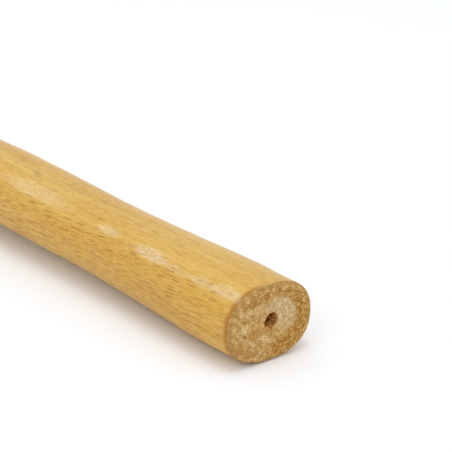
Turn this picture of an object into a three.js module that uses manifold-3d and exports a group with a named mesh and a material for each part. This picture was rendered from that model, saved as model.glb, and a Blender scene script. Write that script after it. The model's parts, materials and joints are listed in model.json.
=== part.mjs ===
// A wooden muddler, lying on its side: an oval beech grip whose far end is tenoned into a fatter
// crushing head and locked by a cross pin. Millimetres, +Z up, +X from the head towards the butt.

import * as THREE from 'three';
import { mergeVertices } from 'three/addons/utils/BufferGeometryUtils.js';
import Module from 'manifold-3d';

// ---------- driving dimensions (mm) ----------

const CLEARANCE = 0.3; // gap between neighbouring pieces, where the glue is

// Grip. Stations run from the butt's end face towards the head.
const BUTT_HALF_WIDTH = 16;
const GRIP_FLATNESS = 0.765; // height divided by width
const GRIP_SQUARENESS = 2.35; // superellipse exponent of the oval, 2 is an ellipse
const BUTT_RIM = 2; // rounding round the butt's end face
const GRIP_LENGTH = 200; // end face to the shoulder that meets the head
const OVAL_END = 150; // from here the oval turns round by the time it reaches the shoulder
const NECK_RADIUS = 11;

// Half-width of the grip along its length: full butt, waist, palm swell, neck.
const GRIP_OUTLINE = [
  [22, 16.25],
  [44, 15.45],
  [64, 14.8],
  [85, 14.45],
  [110, 14.7],
  [148, 14.8],
  [176, 12.9],
  [GRIP_LENGTH, NECK_RADIUS],
];

// Drilled hole in the butt, a little off the middle.
const BUTT_HOLE = { radius: 2.5, depth: 14, tip: 1.5, across: -0.5, up: 1.4 };

// Tenon and mortise.
const TENON_RADIUS = 9;
const TENON_LENGTH = 40;
const TENON_CHAMFER = 1.2;

// Head, a little fatter towards its crushing face. It is nearly round: it keeps a trace of the
// grip's oval, so that the muddler lies still on its flatter side.
const HEAD_HALF_WIDTH = 19;
const HEAD_FLATNESS = 0.92;
const HEAD_SQUARENESS = 2.35;
const HEAD_LENGTH = 60;
const HEAD_BACK_HALF_WIDTH = 12.5; // flat ring that the grip's shoulder meets
const HEAD_SHOULDER = 15; // length of the rounded shoulder
const FACE_RIM = 4; // rounding round the crushing face

// Cross pin.
const PIN_RADIUS = 3;
const PIN_STATION = GRIP_LENGTH + 22;

// At rest the object lies on the butt's rim and along the head's barrel. The barrel tapers so that its
// underside is in line with the butt's, and the long axis slopes down towards the butt.
const BARREL_END = GRIP_LENGTH + HEAD_LENGTH - FACE_RIM;
const BARREL_START = GRIP_LENGTH + CLEARANCE + HEAD_SHOULDER;
const BUTT_HALF_HEIGHT = BUTT_HALF_WIDTH * GRIP_FLATNESS;
const HEAD_HALF_HEIGHT = HEAD_HALF_WIDTH * HEAD_FLATNESS;
const REST_SLOPE = (HEAD_HALF_HEIGHT - BUTT_HALF_HEIGHT) / (BARREL_END - BUTT_RIM);
const BARREL_TAPER = REST_SLOPE / HEAD_FLATNESS;
const SHOULDER_HALF_WIDTH = HEAD_HALF_WIDTH - BARREL_TAPER * (BARREL_END - BARREL_START);

// Mesh fineness.
const ROUND_SEGMENTS = 36;
const HALF_FACET = Math.PI / ROUND_SEGMENTS; // turns a facet, and not an edge, to the underside
const HOLE_SEGMENTS = 24;
const CURVE_DIVISIONS = 3;

const OVERSHOOT = 1; // how far a cutter runs past the face that it cuts

// ---------- solids ----------

const wasm = await Module();
wasm.setup();

function toSolid(geometry) {
  const bare = geometry.clone();
  bare.deleteAttribute('normal');
  bare.deleteAttribute('uv');
  const merged = mergeVertices(bare, 1e-4);
  return new wasm.Manifold(new wasm.Mesh({
    numProp: 3,
    vertProperties: new Float32Array(merged.attributes.position.array),
    triVerts: new Uint32Array(merged.index.array),
  }));
}

function toGeometry(solid) {
  const mesh = solid.getMesh();
  const geometry = new THREE.BufferGeometry();
  geometry.setAttribute('position', new THREE.BufferAttribute(mesh.vertProperties, 3));
  geometry.setIndex(new THREE.BufferAttribute(mesh.triVerts, 1));
  geometry.computeVertexNormals();
  return geometry;
}

// Presses a round lathe form into an oval, whose flatness and squareness may change along it.
function pressOval(geometry, ovalAt) {
  const points = geometry.attributes.position;
  for (let i = 0; i < points.count; i += 1) {
    const station = points.getY(i);
    const radius = Math.hypot(points.getX(i), points.getZ(i));
    const angle = Math.atan2(points.getZ(i), points.getX(i));
    const { flatness, squareness } = ovalAt(station);
    const power = 2 / squareness;
    const across = radius * Math.sign(Math.cos(angle)) * Math.abs(Math.cos(angle)) ** power;
    const up = radius * Math.sign(Math.sin(angle)) * Math.abs(Math.sin(angle)) ** power;
    points.setXYZ(i, across, station, up * flatness);
  }
}

// A profile is drawn as half-width against station, turned about the long axis and pressed oval.
// The solid has its stations along -X, with the butt's end face at X = 0.
function turned(profile, ovalAt) {
  const geometry = new THREE.LatheGeometry(profile.getPoints(CURVE_DIVISIONS), ROUND_SEGMENTS, HALF_FACET);
  pressOval(geometry, ovalAt);
  geometry.rotateZ(Math.PI / 2);
  return toSolid(geometry);
}

// ---------- handle ----------

function handleProfile() {
  const tenonEnd = GRIP_LENGTH + TENON_LENGTH;
  const profile = new THREE.Path();
  profile.moveTo(0, 0);
  profile.lineTo(BUTT_HALF_WIDTH - BUTT_RIM, 0);
  profile.absarc(BUTT_HALF_WIDTH - BUTT_RIM, BUTT_RIM, BUTT_RIM, -Math.PI / 2, 0);
  profile.splineThru(GRIP_OUTLINE.map(([station, halfWidth]) => new THREE.Vector2(halfWidth, station)));
  profile.lineTo(TENON_RADIUS, GRIP_LENGTH);
  profile.lineTo(TENON_RADIUS, tenonEnd - TENON_CHAMFER);
  profile.lineTo(TENON_RADIUS - TENON_CHAMFER, tenonEnd);
  profile.lineTo(0, tenonEnd);
  return profile;
}

// The grip's oval fades to round at the neck.
function gripOval(station) {
  const roundness = THREE.MathUtils.smoothstep(station, OVAL_END, GRIP_LENGTH);
  return {
    flatness: THREE.MathUtils.lerp(GRIP_FLATNESS, 1, roundness),
    squareness: THREE.MathUtils.lerp(GRIP_SQUARENESS, 2, roundness),
  };
}

// A drill's shape: a cylinder with a pointed tip, entering the butt along -X.
function buttDrill() {
  const { radius, depth, tip, across, up } = BUTT_HOLE;
  const profile = [
    new THREE.Vector2(0, -OVERSHOOT),
    new THREE.Vector2(radius, -OVERSHOOT),
    new THREE.Vector2(radius, depth),
    new THREE.Vector2(0, depth + tip),
  ];
  const drill = new THREE.LatheGeometry(profile, HOLE_SEGMENTS);
  drill.rotateZ(Math.PI / 2);
  drill.translate(0, across, up);
  return toSolid(drill);
}

// ---------- head ----------

// The head's outside, before the joint is cut into it.
function headProfile() {
  const back = GRIP_LENGTH + CLEARANCE;
  const front = GRIP_LENGTH + HEAD_LENGTH;
  const shoulderDepth = SHOULDER_HALF_WIDTH - HEAD_BACK_HALF_WIDTH;
  const profile = new THREE.Path();
  profile.moveTo(0, back);
  profile.lineTo(HEAD_BACK_HALF_WIDTH, back);
  profile.absellipse(HEAD_BACK_HALF_WIDTH, BARREL_START, shoulderDepth, HEAD_SHOULDER, -Math.PI / 2, 0);
  profile.absarc(HEAD_HALF_WIDTH - FACE_RIM, BARREL_END, FACE_RIM, 0, Math.PI / 2);
  profile.lineTo(0, front);
  return profile;
}

function headOval() {
  return { flatness: HEAD_FLATNESS, squareness: HEAD_SQUARENESS };
}

// A blind hole for the tenon, open at the head's back.
function mortise() {
  const mouth = GRIP_LENGTH - OVERSHOOT;
  const bottom = GRIP_LENGTH + TENON_LENGTH + CLEARANCE;
  const radius = TENON_RADIUS + CLEARANCE;
  const cutter = new THREE.CylinderGeometry(radius, radius, bottom - mouth, ROUND_SEGMENTS);
  cutter.rotateZ(Math.PI / 2);
  cutter.translate(-(mouth + bottom) / 2, 0, 0);
  return toSolid(cutter);
}

// ---------- cross pin ----------

// A rod along Y through the head and the tenon, long enough to stand out on both sides.
function crossRod(radius) {
  const rod = new THREE.CylinderGeometry(radius, radius, 2 * (HEAD_HALF_WIDTH + OVERSHOOT), HOLE_SEGMENTS);
  rod.translate(-PIN_STATION, 0, 0);
  return toSolid(rod);
}

// ---------- materials ----------

const wood = (color, roughness) => new THREE.MeshStandardMaterial({ color, roughness, metalness: 0 });
const lacqueredBeech = wood(0xd9ab62, 0.35);
const bareBeech = wood(0xcfa873, 0.65);
const dowelBeech = wood(0xb98a52, 0.7);

// ---------- assembly ----------

function piece(name, solid, material) {
  const mesh = new THREE.Mesh(toGeometry(solid), material);
  mesh.name = name;
  return mesh;
}

const headBlank = turned(headProfile(), headOval);
const pinHole = crossRod(PIN_RADIUS + CLEARANCE);

const handle = turned(handleProfile(), gripOval).subtract(buttDrill()).subtract(pinHole);
const head = headBlank.subtract(mortise()).subtract(pinHole);
const pin = crossRod(PIN_RADIUS).intersect(headBlank);

const muddler = new THREE.Group();
muddler.add(piece('handle', handle, lacqueredBeech));
muddler.add(piece('head', head, bareBeech));
muddler.add(piece('cross_pin', pin, dowelBeech));

muddler.rotation.y = Math.atan(REST_SLOPE);

// The origin is the middle of the underside of the whole object's box.
const atRest = new THREE.Group();
atRest.add(muddler);
const box = new THREE.Box3().setFromObject(atRest, true);
muddler.position.set(-(box.min.x + box.max.x) / 2, -(box.min.y + box.max.y) / 2, -box.min.z);

export default atRest;
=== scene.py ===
"""A wooden muddler on a white table: an oval, lacquered beech grip with a sawn butt, tenoned and
pinned into a bare beech crushing head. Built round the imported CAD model, in its frame, in metres.

The shapes are worked out in millimetres along the muddler's own axis. A station is a distance from
the butt's end face towards the head, across is the frame's Y, and up is square to both."""

import json
import math

import bmesh
import bpy
import numpy as np
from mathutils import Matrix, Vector, noise


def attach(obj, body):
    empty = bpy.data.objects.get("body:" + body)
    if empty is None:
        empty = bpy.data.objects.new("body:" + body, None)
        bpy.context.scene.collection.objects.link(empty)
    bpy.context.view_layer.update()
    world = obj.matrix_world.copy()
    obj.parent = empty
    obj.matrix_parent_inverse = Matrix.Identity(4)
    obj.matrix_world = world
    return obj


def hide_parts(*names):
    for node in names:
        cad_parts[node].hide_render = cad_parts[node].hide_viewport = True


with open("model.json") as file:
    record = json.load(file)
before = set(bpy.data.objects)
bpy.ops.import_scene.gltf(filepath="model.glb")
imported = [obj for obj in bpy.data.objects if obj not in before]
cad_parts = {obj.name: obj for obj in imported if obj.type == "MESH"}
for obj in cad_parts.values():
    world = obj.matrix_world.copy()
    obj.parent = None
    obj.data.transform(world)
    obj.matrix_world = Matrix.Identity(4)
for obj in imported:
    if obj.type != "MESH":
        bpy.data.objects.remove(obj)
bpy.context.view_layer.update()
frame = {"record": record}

MM = 0.001

# ---------- dimensions of the CAD model, in mm ----------

BUTT_HALF_WIDTH = 16
GRIP_FLATNESS = 0.765
GRIP_SQUARENESS = 2.35
BUTT_RIM = 2
GRIP_LENGTH = 200
OVAL_END = 150
NECK_RADIUS = 11
GRIP_OUTLINE = [  # station and half width
    (BUTT_RIM, BUTT_HALF_WIDTH),
    (22, 16.25),
    (44, 15.45),
    (64, 14.8),
    (85, 14.45),
    (110, 14.7),
    (148, 14.8),
    (176, 12.9),
    (GRIP_LENGTH, NECK_RADIUS),
]

HOLE_MIDDLE = (-0.5, 1.4)  # across and up
HOLE_RADIUS = 2.5
HOLE_DEPTH = 14
HOLE_TIP = 1.5

TENON_RADIUS = 9
TENON_LENGTH = 40
TENON_CHAMFER = 1.2
TENON_END = GRIP_LENGTH + TENON_LENGTH

HEAD_HALF_WIDTH = 19
HEAD_FLATNESS = 0.92
HEAD_SQUARENESS = 2.35
HEAD_LENGTH = 60
HEAD_BACK_HALF_WIDTH = 12.5
HEAD_SHOULDER = 15
FACE_RIM = 4
HEAD_END = GRIP_LENGTH + HEAD_LENGTH
BARREL_END = HEAD_END - FACE_RIM

PIN_RADIUS = 3
PIN_STATION = GRIP_LENGTH + 22

# ---------- the muddler's own axes, from the record's mounts ----------

BUTT_MOUNT_ACROSS = -8 * MM  # the butt's mount is this far to the side of its middle

mounts = {mount["name"]: mount for mount in frame["record"]["mounts"]}
to_butt = Vector(mounts["butt_face"]["axis"]).normalized()
across = Vector((0, 1, 0))
upward = to_butt.cross(across)
butt_centre = Vector(mounts["butt_face"]["pos_m"]) - BUTT_MOUNT_ACROSS * across
own_axes = np.array([to_butt, across, upward])
rest_slope = -to_butt.z / to_butt.x

BARREL_START = GRIP_LENGTH + HEAD_SHOULDER
BARREL_TAPER = rest_slope / HEAD_FLATNESS
SHOULDER_HALF_WIDTH = HEAD_HALF_WIDTH - BARREL_TAPER * (BARREL_END - BARREL_START)

# ---------- mesh helpers ----------


def smooth_step(value, low, high):
    """0 below low, 1 above high, smooth between."""
    share = np.clip((value - low) / (high - low), 0, 1)
    return share * share * (3 - 2 * share)


def directions(count):
    """Unit vectors round the axis, as their across and up parts."""
    angles = np.arange(count) * 2 * math.pi / count
    return np.cos(angles), np.sin(angles)


def oval(around, half_width, flatness, squareness):
    """How far an oval's edge is from its middle, in each direction round it."""
    cosine, sine = around
    wide = (np.abs(cosine) / half_width) ** squareness
    high = (np.abs(sine) / (half_width * flatness)) ** squareness
    return (wide + high) ** (-1 / squareness)


def ring(around, station, radius, middle=(0, 0)):
    """One ring of points. The station and the radius are numbers, or differ from point to point."""
    cosine, sine = around
    along = -np.broadcast_to(np.asarray(station, float), cosine.shape)
    return np.stack([along, middle[0] + radius * cosine, middle[1] + radius * sine], axis=1)


def rough(points, size, seed):
    """Smooth random numbers from -1 to 1 at points in mm. Size is about a bump's width."""
    scaled = np.asarray(points, float) / size + seed
    return np.array([noise.noise(Vector(p)) for p in scaled])


def rough_share(points, size, seed):
    """The same random numbers, from 0 to 1."""
    return 0.5 + 0.5 * rough(points, size, seed)


def skin(name, rings, first_tip, last_tip):
    """A closed object over a stack of rings, with a tip at each end, laid in the frame."""
    rings = np.asarray(rings, float)
    count, around, _ = rings.shape
    points = np.vstack([first_tip, rings.reshape(-1, 3), last_tip]) * MM @ own_axes + butt_centre
    here = 1 + np.arange(count * around).reshape(count, around)
    beside = np.roll(here, -1, axis=1)
    last = len(points) - 1
    faces = [(0, a, b) for a, b in zip(here[0].tolist(), beside[0].tolist())]
    quads = np.stack([here[:-1], here[1:], beside[1:], beside[:-1]], axis=-1)
    faces += quads.reshape(-1, 4).tolist()
    faces += [(b, a, last) for a, b in zip(here[-1].tolist(), beside[-1].tolist())]
    mesh = bpy.data.meshes.new(name)
    mesh.from_pydata(points.tolist(), [], faces)
    shell = bmesh.new()
    shell.from_mesh(mesh)
    bmesh.ops.recalc_face_normals(shell, faces=shell.faces)
    shell.to_mesh(mesh)
    shell.free()
    mesh.shade_smooth()
    made = bpy.data.objects.new(name, mesh)
    bpy.context.scene.collection.objects.link(made)
    return made


def cut(target, cutter):
    """Takes the cutter's shape out of the target's mesh, and removes the cutter."""
    modifier = target.modifiers.new("cut", "BOOLEAN")
    modifier.object = cutter
    modifier.operation = "DIFFERENCE"
    modifier.solver = "EXACT"
    bpy.context.view_layer.update()
    whole = target.evaluated_get(bpy.context.evaluated_depsgraph_get())
    mesh = bpy.data.meshes.new_from_object(whole)
    target.modifiers.clear()
    target.data = mesh
    bpy.data.objects.remove(cutter)


# ---------- grip ----------

GRIP_AROUND = 256
SIDE_STEP = 1.25
FACE_RINGS = 50
RIM_RINGS = 12
EDGE_GAP = 0.3  # a second ring this close to an edge keeps its shading crisp

WAVE_HEIGHT = 0.1  # the sanded side is never quite even
WAVE_LENGTH = 16
WAVE_START = 12
FACE_ROUGHNESS = 0.16

DRILL_MARKS = 0.1  # how uneven the hole's wall is
HOLE_RAGGEDNESS = 0.14  # how uneven its edge is
CHIP_DEPTH = 2.2  # the broken edge of the hole reaches this far in
SPLINTER_WIDTH = 1.15
SPLINTER_START = (-172, -152)  # in degrees round the hole, from nothing to its full width
SPLINTER_END = (-98, -66)
NOTCH_WIDTH = 0.35
NOTCH_ANGLE = 176
NOTCH_SPREAD = 11


def grip_half_width(stations):
    """The grip's outline at these stations: a Catmull-Rom curve through the outline's points."""
    knots = np.array([GRIP_OUTLINE[0], *GRIP_OUTLINE, GRIP_OUTLINE[-1]], float)
    curve = []
    for before, start, end, after in zip(knots, knots[1:], knots[2:], knots[3:]):
        for t in np.linspace(0, 1, 24, endpoint=False):
            slope_part = (end - before) * t
            square_part = (2 * before - 5 * start + 4 * end - after) * t**2
            cube_part = (3 * start - before - 3 * end + after) * t**3
            curve.append(start + (slope_part + square_part + cube_part) / 2)
    curve.append(knots[-1])
    curve = np.array(curve)
    return np.interp(stations, curve[:, 0], curve[:, 1])


def face_relief(points):
    """How far the sawn face is torn inwards at each point."""
    torn = rough_share(points, 2.2, 3.1)
    fibres = rough_share(points, 0.9, 7.7)
    grit = rough_share(points, 0.45, 1.3)
    return FACE_ROUGHNESS * (0.4 * torn + 0.35 * fibres + 0.25 * grit)


def hole_edge(around):
    """The drilled hole's edge: its radius in each direction, with a splinter broken off low down."""
    angles = np.degrees(np.arctan2(around[1], around[0]))
    splinter = smooth_step(angles, *SPLINTER_START) * (1 - smooth_step(angles, *SPLINTER_END))
    notch = np.exp(-(((np.abs(angles) - NOTCH_ANGLE) / NOTCH_SPREAD) ** 2))
    uneven = rough(ring(around, 0, HOLE_RADIUS), 1.3, 5.5)
    return HOLE_RADIUS + SPLINTER_WIDTH * splinter + NOTCH_WIDTH * notch + HOLE_RAGGEDNESS * uneven


def drilled_hole(around, edge):
    """The hole's wall, from its bottom to just under its broken edge."""
    rings = []
    for depth in np.concatenate([np.linspace(HOLE_DEPTH, CHIP_DEPTH, 9), np.linspace(1.8, 0.2, 9)]):
        wall = HOLE_RADIUS + (edge - HOLE_RADIUS) * (1 - smooth_step(depth, 0, CHIP_DEPTH))
        marks = rough(ring(around, depth, wall, HOLE_MIDDLE), 1.1, 2.2)
        rings.append(ring(around, depth, wall + DRILL_MARKS * marks, HOLE_MIDDLE))
    return rings


def sawn_face(around, edge):
    """The torn end face, from the hole's edge to the rim."""
    inner = ring(around, 0, edge, HOLE_MIDDLE)
    outer = ring(around, 0, oval(around, BUTT_HALF_WIDTH - BUTT_RIM, GRIP_FLATNESS, GRIP_SQUARENESS))
    rings = []
    for share in np.linspace(0, 1, FACE_RINGS):
        points = inner + (outer - inner) * share
        points[:, 0] = -face_relief(points)
        rings.append(points)
    return rings


def butt_rim(around):
    """The rounded rim, where the sawn face's roughness runs out."""
    rings = []
    for turn in np.linspace(0, math.pi / 2, RIM_RINGS)[1:]:
        half_width = BUTT_HALF_WIDTH - BUTT_RIM * (1 - math.sin(turn))
        radius = oval(around, half_width, GRIP_FLATNESS, GRIP_SQUARENESS)
        points = ring(around, BUTT_RIM * (1 - math.cos(turn)), radius)
        worn = face_relief(points) * (1 - smooth_step(turn, 0.9, 1.5))
        points[:, 0] -= worn * math.cos(turn)
        points[:, 1:] *= (1 - 0.8 * worn * math.sin(turn) / half_width)[:, None]
        rings.append(points)
    return rings


def sanded_side(around):
    """The grip's side, which turns from an oval into the round neck."""
    stations = np.arange(BUTT_RIM + SIDE_STEP, GRIP_LENGTH - EDGE_GAP, SIDE_STEP)
    rings = []
    for station, half_width in zip(stations, grip_half_width(stations)):
        roundness = smooth_step(station, OVAL_END, GRIP_LENGTH)
        flatness = GRIP_FLATNESS + (1 - GRIP_FLATNESS) * roundness
        squareness = GRIP_SQUARENESS + (2 - GRIP_SQUARENESS) * roundness
        radius = oval(around, half_width, flatness, squareness)
        wave = rough(ring(around, station, radius), WAVE_LENGTH / 2, 4.4) - 1
        fade = smooth_step(station, BUTT_RIM, WAVE_START)
        rings.append(ring(around, station, radius + WAVE_HEIGHT * fade * wave))
    return rings


def shoulder_and_tenon(around):
    """The neck's broken edge, its square shoulder, and the tenon with a chamfered end."""
    profile = [
        (GRIP_LENGTH - 0.25, NECK_RADIUS),
        (GRIP_LENGTH - 0.05, NECK_RADIUS - 0.08),
        (GRIP_LENGTH, NECK_RADIUS - EDGE_GAP),
        (GRIP_LENGTH, TENON_RADIUS + EDGE_GAP),
        (GRIP_LENGTH + 0.05, TENON_RADIUS),
        (GRIP_LENGTH + EDGE_GAP, TENON_RADIUS),
    ]
    profile += [(station, TENON_RADIUS) for station in range(GRIP_LENGTH + 3, TENON_END - 3, 3)]
    profile += [
        (TENON_END - TENON_CHAMFER - EDGE_GAP, TENON_RADIUS),
        (TENON_END - TENON_CHAMFER, TENON_RADIUS),
        (TENON_END, TENON_RADIUS - TENON_CHAMFER),
        (TENON_END, TENON_RADIUS - TENON_CHAMFER - EDGE_GAP),
    ]
    return [ring(around, station, radius) for station, radius in profile]


def handle_rings():
    around = directions(GRIP_AROUND)
    edge = hole_edge(around)
    rings = drilled_hole(around, edge) + sawn_face(around, edge) + butt_rim(around)
    rings += sanded_side(around) + shoulder_and_tenon(around)
    return rings, (-(HOLE_DEPTH + HOLE_TIP), *HOLE_MIDDLE), (-TENON_END, 0, 0)


# ---------- head ----------

HEAD_AROUND = 256
JOINT_GAP = 0.08  # glue line at the neck's shoulder and at the tenon's end
GLUE_LINE = 0.07  # glue line round the tenon and round the cross pin
MOUTH_BEVEL = 0.4  # at the mortise's mouth
BACK_BEVEL = 0.5
DENT_DEPTH = 0.04
FACE_WEAR = 0.05
FACE_DENTS = 0.12


def head_half_width(stations):
    """The head's outline: rounded shoulder, gently tapered barrel, rounded rim."""
    stations = np.asarray(stations, float)
    shoulder_share = np.clip((BARREL_START - stations) / HEAD_SHOULDER, 0, 1)
    swell = SHOULDER_HALF_WIDTH - HEAD_BACK_HALF_WIDTH
    shoulder = HEAD_BACK_HALF_WIDTH + swell * np.sqrt(1 - shoulder_share**2)
    barrel = SHOULDER_HALF_WIDTH + BARREL_TAPER * np.clip(stations - BARREL_START, 0, None)
    rim_share = np.clip((stations - BARREL_END) / FACE_RIM, 0, 1)
    rim = HEAD_HALF_WIDTH - FACE_RIM * (1 - np.sqrt(1 - rim_share**2))
    return np.where(stations < BARREL_START, shoulder, np.where(stations < BARREL_END, barrel, rim))


def head_oval(around, half_width):
    return oval(around, half_width, HEAD_FLATNESS, HEAD_SQUARENESS)


def mortise_and_back(around):
    """The blind hole for the tenon, from its bottom, and the flat back round its mouth."""
    back = GRIP_LENGTH + JOINT_GAP
    bottom = TENON_END + JOINT_GAP
    bore = TENON_RADIUS + GLUE_LINE
    rings = [ring(around, bottom, bore - EDGE_GAP)]
    rings += [ring(around, station, bore) for station in np.linspace(bottom - 0.05, back + MOUTH_BEVEL, 14)]
    rings.append(ring(around, back, bore + MOUTH_BEVEL))
    rings.append(ring(around, back, head_oval(around, HEAD_BACK_HALF_WIDTH - BACK_BEVEL)))
    return rings


def head_side(around):
    """Shoulder, barrel and rim, with shallow dents."""
    shoulder_turns = np.linspace(0, math.pi / 2, 22)[1:]
    rim_turns = np.linspace(0, math.pi / 2, 14)
    stations = BARREL_START - HEAD_SHOULDER * np.cos(shoulder_turns)
    stations = np.append(stations, np.arange(BARREL_START + 1, BARREL_END, 1))
    stations = np.append(stations, BARREL_END + FACE_RIM * np.sin(rim_turns))
    rings = []
    for station, half_width in zip(stations, head_half_width(stations)):
        radius = head_oval(around, half_width)
        dents = rough(ring(around, station, radius), 7, 8.2) - 1
        rings.append(ring(around, station, radius + DENT_DEPTH * dents))
    return rings


def crushing_face(around):
    """The flat end, worn rough and dented."""
    face = head_oval(around, HEAD_HALF_WIDTH - FACE_RIM)
    rings = []
    for share in np.linspace(1, 0.02, 40)[1:]:
        points = ring(around, HEAD_END, face * share)
        wear = FACE_WEAR * rough_share(points, 1.1, 6.1) + FACE_DENTS * rough_share(points, 6, 9.1)
        points[:, 0] += wear * smooth_step(1 - share, 0, 0.12)
        rings.append(points)
    return rings


def head_rings():
    around = directions(HEAD_AROUND)
    rings = mortise_and_back(around) + head_side(around) + crushing_face(around)
    return rings, (-(TENON_END + JOINT_GAP), 0, 0), rings[-1].mean(axis=0)


# ---------- cross pin ----------

PIN_AROUND = 64
PIN_BEVEL = 0.12
PIN_SUNK = 0.02  # the trimmed ends lie this far below the head's surface
PIN_GRAIN = 0.02


def pin_end(around, radius, side):
    """Where a ring of the pin meets the head's surface, on one side. The points are on the pin."""
    stations = PIN_STATION + radius * around[0]
    up = radius * around[1]
    half_width = head_half_width(stations)
    share = np.abs(up) / (half_width * HEAD_FLATNESS)
    reach = half_width * (1 - share**HEAD_SQUARENESS) ** (1 / HEAD_SQUARENESS)
    return np.stack([-stations, side * reach, up], axis=1)


def trimmed_end(around, side):
    """One end of the pin, from its middle out to its edge."""
    rings = []
    for radius in [*np.linspace(0.2, PIN_RADIUS - PIN_BEVEL, 16), PIN_RADIUS]:
        points = pin_end(around, radius, side)
        bevel = PIN_BEVEL if radius == PIN_RADIUS else 0
        grain = PIN_GRAIN * np.abs(rough(points, 0.6, 2.9))
        points[:, 1] -= side * (PIN_SUNK + bevel + grain)
        rings.append(points)
    return rings


def pin_rings():
    around = directions(PIN_AROUND)
    rings = trimmed_end(around, -1)
    shaft = pin_end(around, PIN_RADIUS, 1)
    for reach in np.linspace(-0.92, 0.92, 24):
        points = shaft.copy()
        points[:, 1] = reach * shaft[:, 1]
        rings.append(points)
    rings += trimmed_end(around, 1)[::-1]
    return rings, rings[0].mean(axis=0), rings[-1].mean(axis=0)


def pin_cutter(name):
    """A plain rod the pin's way, a little thicker, that cuts the pin's hole."""
    around = directions(PIN_AROUND)
    reach = HEAD_HALF_WIDTH + 2
    rings = []
    for side in (-reach, reach):
        points = pin_end(around, PIN_RADIUS + GLUE_LINE, 1)
        points[:, 1] = side
        rings.append(points)
    return skin(name, rings, (-PIN_STATION, -reach, 0), (-PIN_STATION, reach, 0))


# ---------- material nodes ----------


def srgb(red, green, blue):
    """A colour given as the usual 0 to 255 values, as linear light."""
    linear = []
    for channel in (red, green, blue):
        share = channel / 255
        linear.append(share / 12.92 if share <= 0.04045 else ((share + 0.055) / 1.055) ** 2.4)
    return (*linear, 1)


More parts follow.
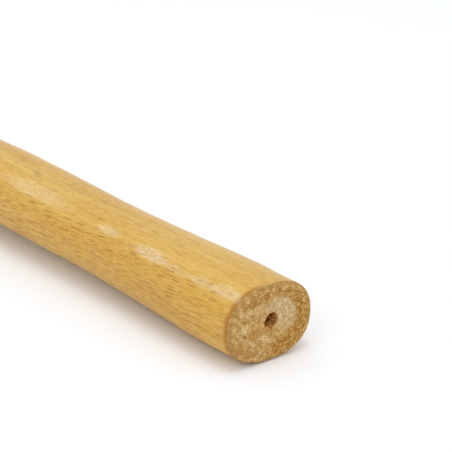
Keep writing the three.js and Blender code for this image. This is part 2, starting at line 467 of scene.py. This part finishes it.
class Graph:
    """A material's nodes. Every input is a number, a colour, a vector or another node's output."""

    def __init__(self, name):
        self.material = bpy.data.materials.new(name)
        self.material.use_nodes = True
        self.tree = self.material.node_tree
        self.tree.nodes.clear()
        self.output = self.tree.nodes.new("ShaderNodeOutputMaterial")
        self.shader = self.tree.nodes.new("ShaderNodeBsdfPrincipled")
        self.tree.links.new(self.shader.outputs[0], self.output.inputs["Surface"])

    def feed(self, socket, value):
        if isinstance(value, bpy.types.NodeSocket):
            self.tree.links.new(value, socket)
        else:
            socket.default_value = value

    def node(self, kind, inputs, **settings):
        made = self.tree.nodes.new(kind)
        for name, value in settings.items():
            setattr(made, name, value)
        for name, value in inputs.items():
            self.feed(made.inputs[name], value)
        return made

    def math(self, operation, *values):
        return self.node("ShaderNodeMath", dict(enumerate(values)), operation=operation).outputs[0]

    def swing(self, base, wave, amount):
        """The base, moved by how far a 0 to 1 wave is from its middle, times the amount."""
        return self.math("MULTIPLY_ADD", self.math("SUBTRACT", wave, 0.5), amount, base)

    def step(self, value, low, high):
        """0 below low, 1 above high, smooth between. It runs the other way if high is the lower."""
        start, end = 0.0, 1.0
        if low > high:
            low, high, start, end = high, low, end, start
        inputs = {"Value": value, "From Min": low, "From Max": high, "To Min": start, "To Max": end}
        return self.node("ShaderNodeMapRange", inputs, interpolation_type="SMOOTHSTEP").outputs[0]

    def between(self, share, a, b):
        """A number that goes from a to b as the share goes from 0 to 1."""
        return self.node("ShaderNodeMix", {0: share, 2: a, 3: b}).outputs[0]

    def vector(self, x, y, z):
        return self.node("ShaderNodeCombineXYZ", {"X": x, "Y": y, "Z": z}).outputs[0]

    def split(self, value):
        return self.node("ShaderNodeSeparateXYZ", {"Vector": value}).outputs

    def scaled(self, value, factors):
        inputs = {0: value, 1: factors}
        return self.node("ShaderNodeVectorMath", inputs, operation="MULTIPLY").outputs[0]

    def shifted(self, value, offset):
        return self.node("ShaderNodeVectorMath", {0: value, 1: offset}, operation="ADD").outputs[0]

    def astray(self, value, wander, reach):
        """The place, moved each way by how far a noise's colour is from grey, times the reach."""
        centred = self.shifted(wander, (-0.5, -0.5, -0.5))
        return self.shifted(value, self.scaled(centred, reach))

    def on_patch(self, value, centre, size, turn):
        """The place in a flat patch's own terms: 0 in its middle and 1 at its half sizes."""
        inputs = {"Vector": value, "Location": (*centre, 0.0), "Scale": (*size, 1.0)}
        inputs["Rotation"] = (0.0, 0.0, math.radians(turn))
        return self.node("ShaderNodeMapping", inputs, vector_type="TEXTURE").outputs[0]

    def length(self, value):
        return self.node("ShaderNodeVectorMath", {0: value}, operation="LENGTH").outputs["Value"]

    def noise(self, value, scale=1.0, detail=2.0, roughness=0.5, output="Fac"):
        inputs = {"Vector": value, "Scale": scale, "Detail": detail, "Roughness": roughness}
        return self.node("ShaderNodeTexNoise", inputs).outputs[output]

    def cells(self, value, scale=1.0):
        """Voronoi cells: the distance to a cell's middle, and the cell's own random number."""
        outputs = self.node("ShaderNodeTexVoronoi", {"Vector": value, "Scale": scale}).outputs
        chance = self.node("ShaderNodeSeparateColor", {"Color": outputs["Color"]}).outputs[0]
        return outputs["Distance"], chance

    def dots(self, value, scale, edge, middle, chosen):
        """Dots in a chosen share of the cells: 0 outside the edge's radius, 1 inside the middle's."""
        distance, chance = self.cells(value, scale)
        dot = self.step(distance, edge, middle)
        return self.math("MULTIPLY", dot, self.math("LESS_THAN", chance, chosen))

    def mix(self, share, a, b):
        made = self.node("ShaderNodeMix", {}, data_type="RGBA")
        for socket, value in zip((made.inputs[0], made.inputs[6], made.inputs[7]), (share, a, b)):
            self.feed(socket, value)
        return made.outputs[2]

    def painted(self, colour, mask, strength, paint):
        """The colour with paint over it where the mask is 1, at this strength."""
        return self.mix(self.math("MULTIPLY", mask, strength), colour, paint)

    def ramp(self, value, *stops):
        made = self.node("ShaderNodeValToRGB", {"Fac": value})
        elements = made.color_ramp.elements
        while len(elements) < len(stops):
            elements.new(0.5)
        for element, (place, colour) in zip(elements, stops):
            element.position = place
            element.color = colour
        return made.outputs[0]

    def bump(self, height, distance):
        inputs = {"Height": height, "Distance": distance * MM}
        return self.node("ShaderNodeBump", inputs).outputs[0]

    def position(self):
        """The place on the muddler in mm along its own axes, from the butt's middle."""
        inputs = {
            "Vector": self.node("ShaderNodeTexCoord", {}).outputs["Object"],
            "Location": tuple(butt_centre),
            "Rotation": (0.0, math.atan(rest_slope), 0.0),
            "Scale": (MM, MM, MM),
        }
        return self.node("ShaderNodeMapping", inputs, vector_type="TEXTURE").outputs[0]

    def finish(self, **inputs):
        for name, value in inputs.items():
            self.feed(self.shader.inputs[name.replace("_", " ")], value)
        return self.material


# ---------- beech ----------

GRAIN_SLOPE = 0.06  # the grain climbs this much per mm towards the butt
PITH = (0.0, 62.0, -9.0)  # the tree's middle, beside the piece
RING_WIDTH = 2.6


def grain_place(g, place):
    """The place, straightened so that the grain runs along X, with a slow wander."""
    wander = g.noise(g.scaled(place, (0.012, 0.04, 0.04)), output="Color")
    x, y, z = g.split(g.astray(place, wander, (0.0, 2.2, 2.2)))
    return g.vector(x, y, g.math("SUBTRACT", z, g.math("MULTIPLY", x, GRAIN_SLOPE)))


def growth_rings(g, straight):
    """0 in early wood, rising to 1 at the end of each year's ring."""
    _, y, z = g.split(straight)
    from_pith = g.length(g.shifted(g.vector(0.0, y, z), tuple(-c for c in PITH)))
    sway = g.noise(g.scaled(straight, (0.006, 0.1, 0.1)), detail=1.0)
    year = g.math("ADD", g.math("DIVIDE", from_pith, RING_WIDTH), g.math("MULTIPLY", sway, 1.5))
    share = g.math("FRACT", year)
    return g.math("MULTIPLY", g.step(share, 0.25, 0.92), g.step(share, 1.0, 0.93))


def ray_flecks(g, straight, cell, radius, chosen, seed):
    """The ends of the wood's rays: thin dark spindles along the grain. 1 in a fleck's middle."""
    shifted = g.shifted(straight, (seed * 13.1, seed * 7.7, seed * 3.3))
    return g.dots(g.scaled(shifted, tuple(1 / c for c in cell)), 1.0, radius, radius * 0.65, chosen)


def long_grain(g, place, tones, fleck_share):
    """Colour, height and ray flecks of beech cut along the grain."""
    straight = grain_place(g, place)
    broad = g.noise(g.scaled(straight, (0.012, 0.16, 0.16)), detail=3.0, roughness=0.55)
    streaks = g.noise(g.scaled(straight, (0.05, 1.0, 1.0)), detail=3.0, roughness=0.6)
    hairs = g.noise(g.scaled(straight, (0.2, 2.6, 2.6)), detail=3.0, roughness=0.7)
    tone = 0.5
    for wave, amount in ((broad, 0.6), (streaks, 0.5), (hairs, 1.2)):
        tone = g.swing(tone, wave, amount)
    tone = g.math("MULTIPLY_ADD", growth_rings(g, straight), -0.06, tone)
    dark, middle, light, fleck_colour = tones
    colour = g.ramp(tone, (0.15, dark), (0.48, middle), (0.85, light))
    large = ray_flecks(g, straight, (8.5, 9.0, 0.48), 0.31, 0.8, 0)
    small = ray_flecks(g, straight, (4.6, 6.0, 0.38), 0.29, 0.75, 1)
    flecks = g.math("MAXIMUM", large, g.math("MULTIPLY", small, 0.7))
    flecks = g.math("MULTIPLY", flecks, fleck_share)
    colour = g.mix(flecks, colour, fleck_colour)
    height = g.math("MULTIPLY_ADD", hairs, 0.5, g.math("MULTIPLY", flecks, -0.6))
    return colour, height, flecks


# ---------- the grip's material ----------

LACQUER_EDGE = 2.1  # the station where the lacquer stops
SIDE_TONES = (srgb(184, 131, 46), srgb(210, 165, 74), srgb(223, 186, 102), srgb(146, 90, 28))

# Painted highlights along the grip's upper edge, on its -Y side: pale patches painted where the lacquer's
# glints fall. Station and up, half the length and height, and strength.
PAINTED_GLINT_SPOTS = [
    ((8.5, 9.9), (6.0, 1.1), 0.34),
    ((19.0, 9.7), (5.5, 0.8), 0.24),
    ((31.0, 9.3), (7.0, 0.7), 0.18),
    ((46.0, 9.25), (7.5, 1.05), 0.42),
    ((69.5, 9.15), (5.5, 0.75), 0.34),
    ((111.0, 9.3), (17.0, 1.15), 0.24),
]

# Darker and paler patches of the sawn face: across and up, half sizes, turn in degrees, colour
# and strength.
BUTT_PATCHES = [
    ((-6.8, -1.5), (2.4, 1.6), 20.0, srgb(172, 120, 50), 0.6),
    ((-7.8, 9.0), (1.4, 1.4), 10.0, srgb(146, 96, 32), 0.65),
    ((-2.6, 9.6), (1.3, 1.1), 0.0, srgb(150, 98, 34), 0.6),
    ((-10.9, 8.0), (0.9, 1.2), 0.0, srgb(156, 108, 48), 0.5),
    ((-11.0, 3.5), (0.7, 0.5), 0.0, srgb(146, 86, 28), 0.8),
    ((-11.1, -0.9), (0.35, 0.35), 0.0, srgb(84, 48, 16), 0.9),
    ((-13.0, -4.4), (1.6, 2.4), 20.0, srgb(160, 112, 50), 0.55),
    ((-9.5, -7.2), (3.6, 1.3), -25.0, srgb(164, 116, 54), 0.6),
    ((-9.4, 6.2), (2.2, 1.1), 10.0, srgb(214, 182, 126), 0.55),
    ((-5.3, 6.2), (2.0, 1.4), 0.0, srgb(214, 182, 128), 0.5),
    ((-10.8, 0.9), (1.4, 1.2), 30.0, srgb(228, 202, 152), 0.65),
    ((-2.6, -4.4), (2.4, 1.0), -40.0, srgb(220, 190, 140), 0.6),
    ((-7.9, -4.2), (1.7, 0.9), -25.0, srgb(214, 182, 130), 0.5),
]


def blob(g, flat_place, centre, size, turn=0.0, soft=0.35):
    """1 inside an oval patch of a flat place, fading to 0 round its edge."""
    return g.step(g.length(g.on_patch(flat_place, centre, size, turn)), 1 + soft, 1 - soft)


def golden_ring(g, torn):
    """The dark golden ring: round the +Y side, along the top, and under the middle."""
    from_middle = g.shifted(torn, (0.0, -1.5, 0.0))
    inner = g.length(g.scaled(from_middle, (1 / 8.2, 1 / 7.5, 0.0)))
    outer = g.length(g.scaled(torn, (1 / 14.6, 1 / 11.2, 0.0)))
    whole = g.math("MULTIPLY", g.step(inner, 0.85, 1.15), g.step(outer, 1.12, 0.86))
    to_side, to_top, _ = g.split(torn)
    top = g.math("MULTIPLY", g.step(to_top, 7.6, 8.8), 0.8)
    return g.math("MULTIPLY", whole, g.math("MAXIMUM", g.step(to_side, -4.0, 1.5), top))


def sawn_wood(g, torn, tone):
    """The sawn face's beige wood, and the same wood with the golden ring in it."""
    beige = g.ramp(
        tone,
        (0.26, srgb(140, 96, 40)),
        (0.44, srgb(174, 134, 74)),
        (0.58, srgb(196, 158, 99)),
        (0.78, srgb(226, 198, 146)),
    )
    golden = g.ramp(
        tone,
        (0.26, srgb(126, 80, 24)),
        (0.46, srgb(162, 115, 50)),
        (0.62, srgb(190, 146, 78)),
        (0.8, srgb(230, 192, 122)),
    )
    return beige, g.mix(golden_ring(g, torn), beige, golden)


def torn_fibres(g, flat_place):
    """Pale crossing strands on the torn patch beside the hole."""
    strands = []
    for turn in (-58.0, 40.0):
        along = g.on_patch(flat_place, (0.0, 0.0), (2.4, 0.4), turn)
        strands.append(g.step(g.noise(along, roughness=0.6), 0.5, 0.64))
    return g.math("MAXIMUM", *strands)


def rubbed_rim(g, colour, place, station, tone):
    """The rounded rim, rubbed grey-beige, most of all on the -Y side and the top."""
    _, y, z = g.split(place)
    rubbed = g.step(g.math("MULTIPLY_ADD", z, 0.45, g.math("MULTIPLY", y, -1.0)), -9.0, 7.0)
    rim_colour = g.mix(rubbed, srgb(166, 116, 48), srgb(156, 120, 68))
    rim_colour = g.mix(g.step(tone, 0.45, 0.75), rim_colour, srgb(184, 146, 86))
    return g.painted(colour, g.step(station, 0.2, 0.8), 0.7, rim_colour)


def hole_colour(g, colour, place, station, flat_place, inside):
    """The drilled hole: brown inside, and fresh wood where a splinter broke off its edge."""
    x, y, z = g.split(place)
    drill_marks = g.noise(g.vector(g.math("MULTIPLY", x, 0.3), y, z), scale=1.6, detail=3.0)
    wall = g.mix(g.step(drill_marks, 0.4, 0.62), srgb(164, 102, 34), srgb(214, 160, 84))
    colour = g.mix(g.math("MULTIPLY", inside, g.step(station, 0.25, 1.4)), colour, wall)
    fresh = blob(g, flat_place, (-2.5, -0.4), (2.3, 0.65), -37.0, 0.3)
    fresh = g.math("MULTIPLY", fresh, g.step(station, 2.2, 1.4))
    return g.painted(colour, fresh, 0.95, srgb(232, 176, 104))


def butt_grain(g, place):
    """Colour, height and mottling of the sawn end grain, and 1 in and round its hole."""
    x, y, z = g.split(place)
    station = g.math("MULTIPLY", x, -1.0)
    flat_place = g.vector(y, z, 0.0)
    jitter = g.noise(flat_place, scale=0.55, detail=4.0, roughness=0.65, output="Color")
    torn = g.astray(flat_place, jitter, (3.4, 3.4, 0.0))
    mottle = g.noise(flat_place, scale=0.7, detail=4.0, roughness=0.65)
    specks = g.noise(flat_place, scale=2.0, detail=3.0, roughness=0.75)
    tone = g.swing(mottle, specks, 1.1)
    beige, colour = sawn_wood(g, torn, tone)

    patchy = g.math("MULTIPLY_ADD", g.step(specks, 0.38, 0.58), 0.5, 0.5)
    for centre, size, turn, tint, strength in BUTT_PATCHES:
        patch = blob(g, torn, centre, size, turn)
        colour = g.painted(colour, patch, g.math("MULTIPLY", patchy, strength), tint)

    fibres = torn_fibres(g, flat_place)
    pale = blob(g, torn, (3.5, 3.0), (6.3, 4.4), -44.0, 0.26)
    pale_colour = g.mix(fibres, srgb(190, 154, 98), srgb(246, 228, 186))
    colour = g.painted(colour, pale, 0.9, g.mix(0.25, pale_colour, beige))

    # painted highlights: bright sparkle dots on the rough end grain
    colour = g.painted(colour, g.dots(flat_place, 1.25, 0.34, 0.14, 0.3), 0.6, srgb(238, 204, 136))
    pores = g.dots(flat_place, 1.7, 0.36, 0.14, 0.35)
    colour = g.painted(colour, pores, 0.5, srgb(122, 78, 28))

    colour = rubbed_rim(g, colour, place, station, tone)
    from_hole = g.length(g.shifted(flat_place, (-HOLE_MIDDLE[0], -HOLE_MIDDLE[1], 0.0)))
    inside = g.step(from_hole, 5.2, 4.4)
    colour = hole_colour(g, colour, place, station, flat_place, inside)

    height = g.math("MULTIPLY_ADD", specks, 0.6, g.math("MULTIPLY", fibres, pale))
    return colour, g.math("MULTIPLY_ADD", pores, -0.6, height), mottle, inside


def painted_glint_haze(g, place, station):
    """Painted highlight: pale haze over the glint places, broken up along the grain."""
    _, y, z = g.split(place)
    edge_place = g.vector(station, z, 0.0)
    haze = 0.0
    for centre, size, strength in PAINTED_GLINT_SPOTS:
        glint_spot = blob(g, edge_place, centre, size, soft=0.5)
        haze = g.math("MULTIPLY_ADD", glint_spot, strength, haze)
    streaky = g.noise(g.scaled(place, (0.5, 1.5, 1.5)), detail=3.0, roughness=0.7)
    haze = g.math("MULTIPLY", haze, g.step(streaky, 0.22, 0.72))
    return g.math("MULTIPLY", haze, g.step(y, -2.0, -5.0))


def lacquered_beech():
    g = Graph("lacquered_beech")
    place = g.position()
    x, y, z = g.split(place)
    station = g.math("MULTIPLY", x, -1.0)

    # the flanks show most of the ray flecks, and painted shade makes them a shade darker than the top
    flank = g.step(g.math("ABSOLUTE", y), 8.5, 12.8)
    fleck_share = g.math("MULTIPLY_ADD", flank, 0.62, 0.16)
    side_colour, side_height, flecks = long_grain(g, place, SIDE_TONES, fleck_share)
    # painted shade: the flanks are darkened towards the deepest side tone
    side_colour = g.painted(side_colour, flank, 0.16, SIDE_TONES[0])
    end_colour, end_height, mottle, in_hole = butt_grain(g, place)

    # the lacquer's ragged edge at the butt, where it is thick and amber
    ragged = g.noise(place, scale=0.6, detail=3.0, roughness=0.6)
    edge = g.swing(station, ragged, 1.6)
    lacquer = g.step(edge, LACQUER_EDGE - 0.35, LACQUER_EDGE + 0.2)
    lacquer = g.math("MULTIPLY", lacquer, g.math("SUBTRACT", 1.0, in_hole))
    seam = g.step(edge, LACQUER_EDGE + 2.4, LACQUER_EDGE + 0.5)
    seam = g.math("MULTIPLY", seam, g.step(y, 4.0, -8.0))
    side_colour = g.painted(side_colour, seam, 0.9, srgb(166, 106, 26))
    # painted highlights: pale glints mixed into the side's colour along the upper edge
    side_colour = g.mix(painted_glint_haze(g, place, station), side_colour, srgb(244, 236, 216))

    # one faint dark smudge on the upper side
    smudge = blob(g, g.vector(station, y, 0.0), (120.0, -2.3), (3.2, 1.2), 20.0, 0.6)
    smudge = g.math("MULTIPLY", smudge, g.step(z, 6.0, 9.0))
    side_colour = g.painted(side_colour, smudge, 0.35, srgb(140, 106, 60))

    bare_roughness = g.math("MULTIPLY_ADD", mottle, 0.2, 0.62)
    side_roughness = g.math("MULTIPLY_ADD", flecks, 0.12, 0.4)
    height = g.between(lacquer, end_height, g.math("MULTIPLY", side_height, 0.12))
    orange_peel = g.noise(place, scale=0.35)
    return g.finish(
        Base_Color=g.mix(lacquer, end_colour, side_colour),
        Roughness=g.between(lacquer, bare_roughness, side_roughness),
        Normal=g.bump(height, 0.12),
        Coat_Weight=g.math("MULTIPLY", lacquer, 0.26),
        Coat_Roughness=0.2,
        Coat_Normal=g.bump(g.math("MULTIPLY_ADD", side_height, 0.1, orange_peel), 0.05),
        Specular_IOR_Level=0.12,
    )


# ---------- the head's and the pin's materials ----------

HEAD_TONES = (srgb(182, 136, 74), srgb(204, 161, 97), srgb(219, 182, 124), srgb(142, 92, 42))
HEAD_PIECE_SHIFT = (37.0, -9.0, 21.0)  # the head is cut from another piece of wood than the grip


def end_pores(g, flat_place, scale, rare):
    """Pores of bare end grain, some faint and some deep. Cells with a number above rare have none."""
    distance, chance = g.cells(flat_place, scale)
    return g.math("MULTIPLY", g.step(distance, 0.4, 0.15), g.step(chance, rare, 0.5))


def head_end_grain(g, flat_place, mottle, rings):
    """Colour and height of the head's sanded ends."""
    pores = end_pores(g, flat_place, 2.3, 0.75)
    rays = g.noise(g.scaled(flat_place, (0.25, 3.2, 1.0)))
    colour = g.ramp(
        mottle,
        (0.3, srgb(164, 116, 66)),
        (0.55, srgb(186, 140, 88)),
        (0.75, srgb(204, 162, 112)),
    )
    colour = g.painted(colour, rings, 0.45, srgb(142, 94, 48))
    colour = g.painted(colour, g.step(rays, 0.55, 0.68), 0.35, srgb(216, 176, 126))
    colour = g.painted(colour, pores, 0.5, srgb(116, 74, 36))
    return colour, g.math("MULTIPLY_ADD", pores, -0.8, g.math("MULTIPLY", rays, 0.4))


def bare_beech():
    g = Graph("bare_beech")
    place = g.position()
    x, y, z = g.split(place)
    flank = g.step(g.math("ABSOLUTE", y), 7.0, 15.0)
    moved = g.shifted(place, HEAD_PIECE_SHIFT)
    fleck_share = g.math("MULTIPLY_ADD", flank, 0.6, 0.12)
    side_colour, side_height, _ = long_grain(g, moved, HEAD_TONES, fleck_share)
    flat_place = g.vector(y, z, 0.0)
    mottle = g.noise(flat_place, scale=0.5, detail=4.0, roughness=0.6)
    rings = growth_rings(g, grain_place(g, moved))
    end_colour, end_height = head_end_grain(g, flat_place, mottle, rings)

    facing = g.node("ShaderNodeTexCoord", {}).outputs["Normal"]
    lengthways = g.math("ABSOLUTE", g.split(facing)[0])
    end_share = g.step(lengthways, 0.45, 0.9)
    colour = g.mix(end_share, side_colour, end_colour)

    # fruit juice has darkened the wood a little towards the crushing face
    soaked = g.noise(place, scale=0.12, detail=4.0, roughness=0.6)
    wet_line = g.math("MULTIPLY_ADD", soaked, 16.0, g.math("MULTIPLY", x, -1.0))
    wet = g.step(wet_line, HEAD_END - 10.0, HEAD_END + 8.0)

    height = g.between(end_share, g.math("MULTIPLY", side_height, 0.5), end_height)
    return g.finish(
        Base_Color=g.painted(colour, wet, 0.3, srgb(140, 88, 46)),
        Roughness=g.math("MULTIPLY_ADD", mottle, 0.25, 0.42),
        Normal=g.bump(height, 0.08),
        Specular_IOR_Level=0.4,
    )


def dowel_beech():
    g = Graph("dowel_beech")
    x, _, z = g.split(g.position())
    end_place = g.vector(x, z, 0.0)
    mottle = g.noise(end_place, scale=1.4, detail=4.0, roughness=0.6)
    pores = end_pores(g, end_place, 3.4, 0.8)
    lines = g.noise(g.scaled(end_place, (0.5, 3.0, 1.0)))
    colour = g.ramp(
        mottle,
        (0.3, srgb(136, 90, 46)),
        (0.55, srgb(166, 116, 64)),
        (0.75, srgb(188, 142, 90)),
    )
    colour = g.painted(colour, pores, 0.6, srgb(86, 52, 24))
    colour = g.painted(colour, g.step(lines, 0.55, 0.68), 0.3, srgb(206, 164, 112))
    return g.finish(
        Base_Color=colour,
        Roughness=g.math("MULTIPLY_ADD", mottle, 0.25, 0.45),
        Normal=g.bump(g.math("MULTIPLY_ADD", pores, -0.8, lines), 0.06),
    )


# ---------- assembly ----------

handle = skin("grip", *handle_rings())
cut(handle, pin_cutter("tenon_drill"))
head = skin("crushing_head", *head_rings())
cut(head, pin_cutter("head_drill"))
pin = skin("dowel", *pin_rings())

for piece, node, slot, material in (
    (handle, "handle", "lacquered_beech", lacquered_beech()),
    (head, "head", "bare_beech", bare_beech()),
    (pin, "cross_pin", "dowel_beech", dowel_beech()),
):
    piece.data.materials.clear()
    piece.data.materials.append(material)
    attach(piece, "root")
    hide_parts(node)

# ---------- floor ----------

FLOOR_SIZE = 8.0  # in metres


def floor_material():
    g = Graph("white_table")
    tone = g.noise(g.position(), scale=0.004)
    colour = g.ramp(tone, (0.3, srgb(246, 246, 247)), (0.7, srgb(249, 249, 250)))
    return g.finish(Base_Color=colour, Roughness=0.6, Specular_IOR_Level=0.2)


floor_mesh = bpy.data.meshes.new("floor")
half = FLOOR_SIZE / 2
corners = [(-half, -half, 0), (half, -half, 0), (half, half, 0), (-half, half, 0)]
floor_mesh.from_pydata(corners, [], [(0, 1, 2, 3)])
floor = bpy.data.objects.new("floor", floor_mesh)
bpy.context.scene.collection.objects.link(floor)
floor.data.materials.append(floor_material())

# ---------- light ----------

ROOM_LIGHT = 0.85
ROOM_BACKDROP = 1.08  # what shows beyond the table's edge, just over white
ROOM_COLOUR = (0.94, 0.972, 1, 1)


def softbox(name, direction, distance, size, power):
    """A white panel that faces the muddler from this direction."""
    light = bpy.data.lights.new(name, "AREA")
    light.shape = "RECTANGLE"
    light.size, light.size_y = size
    light.energy = power
    lamp = bpy.data.objects.new(name, light)
    bpy.context.scene.collection.objects.link(lamp)
    towards = Vector(direction).normalized()
    lamp.location = towards * distance
    lamp.rotation_euler = towards.to_track_quat("Z", "Y").to_euler()


def white_room():
    """Even light from a white room, which the camera sees as a slightly brighter backdrop."""
    world = bpy.data.worlds.new("studio")
    bpy.context.scene.world = world
    world.use_nodes = True
    nodes, links = world.node_tree.nodes, world.node_tree.links
    sky = nodes["Background"]
    sky.inputs["Color"].default_value = ROOM_COLOUR
    brightness = nodes.new("ShaderNodeMapRange")
    brightness.inputs["To Min"].default_value = ROOM_LIGHT
    brightness.inputs["To Max"].default_value = ROOM_BACKDROP
    seen = nodes.new("ShaderNodeLightPath").outputs["Is Camera Ray"]
    links.new(seen, brightness.inputs["Value"])
    links.new(brightness.outputs[0], sky.inputs["Strength"])


softbox("key", (0.10, 0.02, 0.99), 2.0, (1.0, 0.8), 8.0)
softbox("front", (0.30, -0.75, 0.60), 2.0, (1.0, 0.8), 3.6)
softbox("right", (0.80, -0.20, 0.56), 2.0, (1.6, 1.3), 5.0)
softbox("glint", (-0.72, -0.14, 0.68), 1.1, (0.4, 0.3), 0.3)
white_room()
bpy.context.scene.view_settings.view_transform = "Standard"

# ---------- camera ----------

CAMERA_AZIMUTH = 50.82
CAMERA_ELEVATION = 21.85
CAMERA_LENS = 159.3
CAMERA_DISTANCE = 594.0  # to the butt's middle
BUTT_TO_RIGHT = 13.96  # how far the butt's middle lies from the picture's middle
BUTT_BELOW = 29.14


def placed_camera():
    """The camera, which looks down on the butt from its -Y side."""
    azimuth, elevation = math.radians(CAMERA_AZIMUTH), math.radians(CAMERA_ELEVATION)
    right = Vector((math.cos(azimuth), math.sin(azimuth), 0))
    back = Vector(
        (
            math.sin(azimuth) * math.cos(elevation),
            -math.cos(azimuth) * math.cos(elevation),
            math.sin(elevation),
        )
    )
    offset = CAMERA_DISTANCE * back - BUTT_TO_RIGHT * right + BUTT_BELOW * back.cross(right)
    settings = bpy.data.cameras.new("camera")
    settings.sensor_width = 36
    settings.lens = CAMERA_LENS
    settings.clip_start = 0.01
    made = bpy.data.objects.new("camera", settings)
    bpy.context.scene.collection.objects.link(made)
    made.location = butt_centre + offset * MM
    made.rotation_euler = back.to_track_quat("Z", "Y").to_euler()
    return made


bpy.context.scene.camera = placed_camera()
